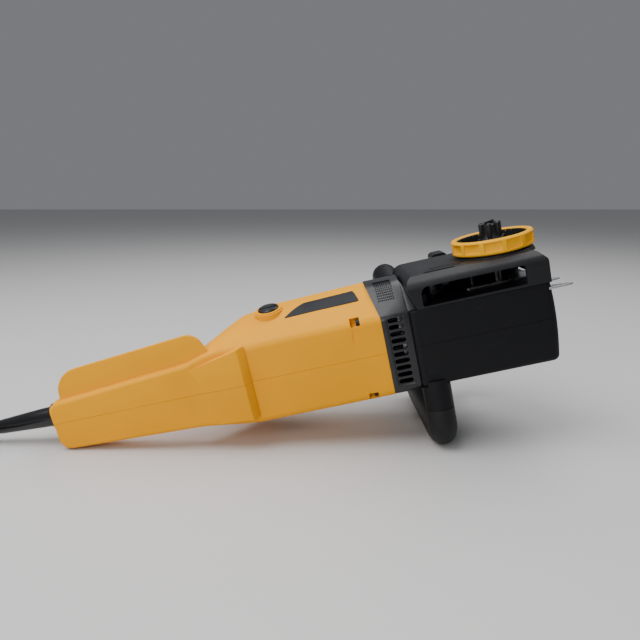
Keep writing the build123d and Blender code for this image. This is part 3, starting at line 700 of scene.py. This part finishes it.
film = cut(moved(label_ground(), shift(0, -0.2, 0.24)), label_ground())
label_face = [(-7, -25), (66, -25), (62, -11), (14, -11)]
film = combine(film, "INTERSECT", prism(label_face, [0.6] * 4, along_z, 30, 80))
piece("label", film, label_film, "saw", "blank_label")


# ==== Vent ring ====================================================================================
# Smooth glossy black ring between the motor housing and the gear head: ten round-ended slots in a
# sunk strip on the underside and the top side, and a fine grille on the upper slope. Its rear edge
# leans back over the housing's crest.
HEAD_X = 107.0
VENT_CORNERS = [(-46.5, -40.5), (-46.5, 33), (-17, 59.5), (18, 61.3), (47, 33), (47, -38), (18, -50),
                (-15, -50)]
VENT_RADII = [9, 9, 22, 22, 12, 12, 18, 18]
CREST_LEAN = 7.4


def vent_form(inset, low, high):
    return prism(shrunk(VENT_CORNERS, inset), [radius * (1 - inset / 20) for radius in VENT_RADII], along_x,
                 low, high)


def slot(x, z, length, width, low, high):
    corners = [(x - length / 2, z - width / 2), (x + length / 2, z - width / 2),
               (x + length / 2, z + width / 2),
               (x - length / 2, z + width / 2)]
    return prism(corners, [width * 0.48] * 4, along_y, low, high)


lean_side = [(VENT_X + 0.15, 33), (VENT_X - CREST_LEAN, 62), (VENT_X - CREST_LEAN, 80), (VENT_X + 3, 80),
             (VENT_X + 3, 33)]
crest_band = combine(vent_form(0, VENT_X - 9, VENT_X + 4), "INTERSECT",
                     prism(lean_side, [0] * 5, along_y, -90, 90))
vent_outside = fused(soften(vent_form(0, VENT_X + 0.15, HEAD_X), 0.7, 3, 60), crest_band)
wedge_side = [(HEAD_X - 1, 30), (114.4, 34.8), (107.7, 57), (HEAD_X - 1, 60)]
wedge = combine(prism(wedge_side, [0] * 4, along_y, -60, 60), "INTERSECT", vent_form(0.6, HEAD_X - 2, 120))
slots = [slot(93.8, -29.6 + 6.6 * k, 13.8, 4.4, *span) for k in range(10) for span in ((-60, -38), (38, 60))]
strips = [soften(box((85.6, 102), span, (-33.6, 33.8)), 0.9) for span in ((-60, -45.8), (46.2, 60))]
grille_window = box((82, 99), (-32, -5), (30, 70))
grille_plate = combine(cut(vent_form(1.1, 80, 106), vent_form(2.3, 78, 110)), "INTERSECT",
                       grille_window.copy())
holes = [box((83.3 + 1.75 * i, 84.4 + 1.75 * i), (-30.8 + 2.2 * j, -29.4 + 2.2 * j), (30, 70))
         for i in range(9) for j in range(12)]
grille_plate = cut(grille_plate, joined(*holes))
vent = cut(fused(vent_outside, wedge), vent_form(WALL, VENT_X - 10, HEAD_X + 12), *strips, joined(*slots),
           grille_window)
vent_gloss = finish_material("vent_gloss", (0.011, 0.0115, 0.014), 0.32, 1500, 0.03, 0.06, 0.25, 0.03,
                             (0.08, 0.08, 0.09))
piece("vent_band", joined(vent, grille_plate), vent_gloss, "saw", "vent_ring", bevel=0.35, sharp=26)


# ==== Gear head ====================================================================================
# Two halves of fine-grained black nylon that part just above the shaft. The nose face bows forward a
# little, and four ears on the top side carry the hand guard's pin.
NOSE_X, DECK_Z, HEAD_LOW_Z, HEAD_SPLIT_Z = 236.0, 35.0, -39.0, 1.6


def head_form():
    corners = [(HEAD_X, -50), (NOSE_X, -50), (NOSE_X, 50), (HEAD_X, 50)]
    bm = prism(corners, [5, 7, 7, 7], along_z, HEAD_LOW_Z, DECK_Z, 8)
    for level in (-33, -26, -18, -10, -2, 6, 14, 22, 29):
        geometry = list(bm.verts) + list(bm.edges) + list(bm.faces)
        bmesh.ops.bisect_plane(bm, geom=geometry, dist=0.0001, plane_co=(0, 0, level), plane_no=(0, 0, 1))
    soften(bm, 4.2, 5, 60, lambda middle: middle.z < HEAD_LOW_Z + 0.1)
    soften(bm, 0.9, 3, 60, lambda middle: middle.z > DECK_Z - 0.1)
    for vert in bm.verts:
        forward = max(0, (vert.co.x - 225) / (NOSE_X - 225))
        vert.co.x += 2.4 * forward * max(0, 1 - ((vert.co.z + 2) / 38) ** 2)
    inside = prism([(110, -47), (233, -47), (233, 47), (110, 47)], [3] * 4, along_z, HEAD_LOW_Z + 3,
                   DECK_Z - 3)
    cutters = [moved(rod(38.5, 106, 113, 64), LAY_ALONG_X), moved(rod(16.3, 20, 50), shift(138, 0, 0)),
               moved(rod(4.2, 20, 50), shift(203, 0, 0)),
               moved(rod(15.5, 40, 60), shift(206, 0, -20), LAY_ALONG_Y),
               box((225, 240), (-49, 49.5), (28.1, 30.3)),
               prism([(190, -6), (218, -6), (218, 6), (190, 6)], [5] * 4, along_z, HEAD_LOW_Z - 2,
                     HEAD_LOW_Z + 5)]
    for x in (115, 174, 229):
        for y in (-43, 43):
            cutters.append(moved(rod(3.8, -60, HEAD_LOW_Z + 5, 24), shift(x, y, 0)))
    form = cut(bm, inside, *cutters)
    ears = []
    for low, high in ((-34, -26.6), (-17.4, -9.4), (5.4, 13.4), (22.6, 30)):
        ear = prism([(163, 49), (181, 49), (177, 66.5), (167, 66.5)], [0, 0, 4, 4], along_z, low, high, 8)
        ears.append(cut(soften(ear, 0.8, 2, 60), moved(rod(2.5, -40, 40, 24), shift(172, 61, 0))))
    return joined(form, *ears)


head = head_form()
head_high = cut(head.copy(), box((90, 300), (-100, 100), (-120, HEAD_SPLIT_Z + 0.12)))
head_low = cut(head, box((90, 300), (-100, 100), (HEAD_SPLIT_Z - 0.12, 120)))
piece("head_right", head_high, black_shell, "saw", "gear_housing_right", bevel=0.18, segments=1, sharp=40)
piece("head_left", head_low, black_shell, "saw", "gear_housing_left", bevel=0.18, segments=1, sharp=40)


# ==== Sprocket cover ===============================================================================
# Black moulded cover over the drive sprocket: sloped shoulders, a rear face that leans back, the chip
# window in its side, a low collar under the tension ring, three shallow finger grooves and a rib that
# stands behind the nose mouth.
STUD_X = 203.0


def cover_form(inset):
    i = inset
    low = DECK_Z + 0.25 - (2 if i else 0)
    side = [(115 + i, low), (107.8 + i, 57), (114 + i, 65 - i), (152, 65.4 - i), (229 - i, 64.4 - i),
            (NOSE_X - i, 56.5), (NOSE_X - i, low)]
    ends = [(-50 + i, low), (-50 + i, 58), (-38 + i, 65.8 - i), (38 - i, 65.8 - i), (50 - i, 58),
            (50 - i, low)]
    length = prism(side, [0, 10, 9, 0, 5, 4, 0], along_y, -50 + i, 50 - i, 8)
    across = prism(ends, [0, 9, 14, 14, 9, 0], along_x, 90, 260, 8)
    return combine(length, "INTERSECT", across)


collar = lathe([(19, 62), (39, 62.4), (38.2, 64.4), (36.4, 66), (35.4, 67), (19, 67)], 96)
collar = combine(moved(collar, shift(STUD_X, 0, 0)), "INTERSECT", box((107, 235.6), (-49.6, 49.6), (60, 70)))
window = prism([(121, 36.8), (121, 55), (215, 55), (215, 37.6)], [2, 7, 3, 1.5], along_y, -60, -42, 8)
mouth = prism([(228, -36), (250, -36), (250, 36), (228, 36)], [0] * 4, along_z, DECK_Z - 2, DECK_Z + 13)
grooves = []
for y, x, reach in ((-37.5, 142, 19), (-30, 147, 21), (-22.5, 153, 22)):
    side = [(x - reach, 66.5), (x + reach, 66.5), (x + reach - 6, 64.6), (x - reach + 6, 64.6)]
    grooves.append(prism(side, [0, 0, 5, 5], along_y, y - 1.1, y + 1.1))
cover = cut(fused(cover_form(0), collar), cover_form(2.5), moved(rod(20, 50, 80, 64), shift(STUD_X, 0, 0)),
            window, mouth,
            *grooves)
nose_rib = joined(box((219, 226), (17, 46), (36.5, 62)), box((222, 225), (-30, 46), (46, 62)))
piece("cover", joined(cover, nose_rib), black_cover, "saw", "sprocket_cover", bevel=0.5, segments=3, sharp=28)


# ==== Tension ring and its dish ====================================================================
# Yellow hand ring with twelve sunk panels round a black dish; turning it moves the bar's tension peg.
ring = lathe([(32.65, 67.5), (37.2, 67.5), (38.2, 68.6), (38.2, 79.6), (37, 80.9), (34, 81), (32.65, 80)], 96)
panels = []
for k in range(12):
    panel = soften(box((35.9, 45), (-7.9, 7.9), (70, 78.9)), 0.9, 3)
    panels.append(moved(panel, turn(k * 30 + 15, "Z")))
ring = moved(cut(ring, *panels), shift(STUD_X, 0, 0))
piece("hand_ring", ring, yellow_ring, "tension_ring", "tension_ring", bevel=0.3, segments=2, sharp=30)
dish_profile = [(12.6, 59.2), (19.5, 59.2), (19.5, 67.8), (32.5, 67.8), (32.5, 79.2), (31.8, 80), (31, 79.4),
                (30, 71.6), (23, 70.2), (21, 71.8), (12.6, 71.8)]
dish = lathe(dish_profile, 96)
notches = [moved(box((29, 33), (-0.6, 0.6), (77.8, 82)), turn(k * 12, "Z")) for k in range(30)]
dish = moved(cut(dish, joined(*notches)), shift(STUD_X, 0, 0))
piece("dish", dish, black_cover, "tension_ring", "ring_dish", bevel=0.25, segments=2, sharp=30)


# ==== Clamp knob ===================================================================================
# Small black star knob on the bar stud: a flared skirt, six rounded grips and a thin tab on top.
knob = lathe([(6.5, 60.6), (11.7, 60.6), (11.7, 72.4), (14, 72.6), (14, 74.4), (11.6, 77), (9.2, 80.4),
              (8, 84), (7.6, 90.6),
              (6, 92), (5.2, 90), (5.2, 84.2), (6.5, 84.2)], 60)
grips = []
for k in range(6):
    grip = box((4.9, 10.9), (-2.3, 2.3), (77, 92.8))
    grips.append(moved(soften(grip, 1.5, 3), turn(k * 60 + 8, "Z")))
    root = box((8, 13.7), (-1.4, 1.4), (72.8, 79))
    grips.append(moved(soften(root, 1.2, 3), turn(k * 60 + 8, "Z")))
tab = moved(soften(box((-7.2, 7.2), (-0.8, 0.8), (88, 94.6)), 0.6), turn(40, "Z"))
knob = moved(fused(knob, *grips, tab), shift(STUD_X, 0, 0))
piece("star_knob", cut(knob, moved(rod(6.5, 59, 84), shift(STUD_X, 0, 0))), black_cover, "clamp_knob",
      "clamp_knob",
      bevel=0.25, segments=2, sharp=34)


# ==== Brush caps ===================================================================================
# Two black screw caps with a coin slot over the carbon brushes, one on the right side, one on the left.
def brush_cap(high):
    profile = [(0, high - 12.4), (5, high - 12.4), (5, high - 6.4), (10.2, high - 6.4), (10.2, high - 1),
               (9.3, high),
               (7.8, high), (7.3, high - 0.6), (6.8, high), (0, high)]
    return cut(lathe(profile, 64), soften(box((-8.6, 8.6), (-1.2, 1.2), (high - 1.7, high + 3)), 0.4, 2))


caps = joined(brush_axis(brush_cap(60.4)), brush_axis(brush_cap(57.6), True))
piece("caps", caps, vent_gloss, "saw", "brush_caps", bevel=0.2, segments=2)


# ==== Front handle =================================================================================
# One wrapped tube from the underside along the left side and up past the top. Its lower part wears a
# rubber sleeve, with a fine groove where the sleeve starts.
HANDLE_ROUTE = [(121, -40, -35.5), (119.5, -45.5, -91.6), (116, 90, -91.6), (101, 92, 57), (104, 46, 43)]
HANDLE_BENDS = [14, 24, 19]
SLEEVE_TOP_Z = -62.0


def bent_tube(route, bends, radius):
    """A round tube along straight runs with bends of the given radii, as one Bezier curve's mesh."""
    stops = [(Vector(route[0]), None)]
    for before, at, after, bend in zip(route, route[1:], route[2:], bends):
        into, out = (Vector(at) - Vector(before)).normalized(), (Vector(after) - Vector(at)).normalized()
        half = into.angle(out) / 2
        reach, pull = bend * math.tan(half), bend * 4 / 3 * math.tan(half / 2)
        stops.append((Vector(at) - into * reach, into * pull))
        stops.append((Vector(at) + out * reach, out * pull))
    stops.append((Vector(route[-1]), None))
    curve = bpy.data.curves.new("tube", "CURVE")
    curve.dimensions = "3D"
    curve.bevel_depth = radius
    curve.bevel_resolution = 9
    curve.resolution_u = 14
    curve.use_fill_caps = True
    line = curve.splines.new("BEZIER")
    line.bezier_points.add(len(stops) - 1)
    for point, (place, pull) in zip(line.bezier_points, stops):
        point.co = place
        point.handle_left_type = point.handle_right_type = "FREE"
        point.handle_left = place - (pull or Vector((0, 0, 0)))
        point.handle_right = place + (pull or Vector((0, 0, 0)))
    holder = link(bpy.data.objects.new("tube", curve))
    bpy.context.view_layer.update()
    mesh = bpy.data.meshes.new_from_object(holder.evaluated_get(bpy.context.evaluated_depsgraph_get()))
    bm = bmesh.new()
    bm.from_mesh(mesh)
    bpy.data.objects.remove(holder)
    bpy.data.curves.remove(curve)
    bpy.data.meshes.remove(mesh)
    bmesh.ops.remove_doubles(bm, verts=bm.verts, dist=0.001)
    bmesh.ops.recalc_face_normals(bm, faces=bm.faces)
    return bm


tube = bent_tube(HANDLE_ROUTE, HANDLE_BENDS, 13.5)
core = bent_tube(HANDLE_ROUTE, HANDLE_BENDS, 11.5)
head_block = box((HEAD_X - 0.2, NOSE_X), (-50, 50), (HEAD_LOW_Z, DECK_Z))
bare = cut(tube.copy(), box((0, 300), (-200, 200), (-200, SLEEVE_TOP_Z)), head_block.copy(),
           vent_form(0, VENT_X, HEAD_X))
low_core = cut(core.copy(), box((0, 300), (-200, 200), (SLEEVE_TOP_Z + 0.5, 200)))
piece("handle_tube", joined(bare, low_core), black_shell, "saw", "front_handle", bevel=0.5, segments=2,
      sharp=40)
sleeve = cut(tube, box((0, 300), (-200, 200), (SLEEVE_TOP_Z - 0.35, 200)), core)
piece("sleeve", sleeve, grip_rubber, "saw", "front_grip", bevel=0.7, segments=3, sharp=40)
head_block.free()


# ==== Smaller moulded and pressed parts ============================================================
# Hand guard, oil cap, trigger, lock-off button, spiked bumper and guide plate keep the engineering
# form, with their edges rounded as moulded or deburred parts have them.
for name, node, material, body, width in (
    ("guard_bar", "hand_guard", black_cover, "hand_guard", 1.6),
    ("filler_cap", "oil_cap", black_cover, "oil_cap", 0.8),
    ("trigger_blade", "trigger", vent_gloss, "trigger", 1.0),
    ("lock_button", "lock_off_button", vent_gloss, "lock_off_button", 0.8),
    ("bumper", "spiked_bumper", zinc_steel, "saw", 0.3),
    ("bar_plate", "guide_plate", zinc_steel, "saw", 0.3),
    ("cord_clip", "cord_clamp", black_shell, "saw", 0.4),
):
    piece(name, from_node(node), material, body, node, bevel=width, segments=3, sharp=35)


# ==== Cord boot, tie and plug ======================================================================
# Glossy rubber boot with a flange at the handle, a strap round the coil, and a round
# two-pin plug whose body narrows to the cord.
BOOT_REACH = -243.0


def boot_form():
    profile = [(5.2, 0), (12.2, 0), (12.2, 2.6), (11.4, 3.5), (9.6, 4.2), (9.4, 14), (6.9, 58.6), (6.2, 60),
               (5.2, 60)]
    return moved(lathe(profile, 40), shift(BOOT_REACH, -31, 3), turn(-90, "Y"))


boot = piece("boot", boot_form(), cord_rubber, "saw", "cord_boot", bevel=0.25, segments=2, sharp=40)
ROW_MM = Matrix.Scale(0.001, 4)
tie_spot = Matrix.Translation((COIL_AT[0] * 1000, COIL_AT[1] * 1000, 0)) @ turn(TIE_ANGLE, "Z")
strap = prism([(45.8, 0.05), (59.2, 0.05), (59.2, 21.05), (45.8, 21.05)], [5.2] * 4, along_y, -5, 5, 8)
strap = cut(strap,
            prism([(46.9, 0.95), (58.1, 0.95), (58.1, 20.45), (46.9, 20.45)], [4.6] * 4, along_y, -6, 6, 8))
lock = soften(box((58.8, 60.6), (-5.6, 5.6), (7, 14)), 0.5)
strap.transform(tie_spot)
lock.transform(tie_spot)
tie = piece("tie", joined(strap, lock), grip_rubber, "saw", "cord_tie", bevel=0.25, frame_matrix=ROW_MM)
plug_mesh = from_node("plug_body")
plug = piece("plug", plug_mesh, cord_rubber, "saw", "plug_body", bevel=1.2, segments=3, sharp=28)
pins = piece("pins", from_node("plug_pins"), zinc_steel, "saw", "plug_pins", bevel=0.4, segments=2, sharp=35)
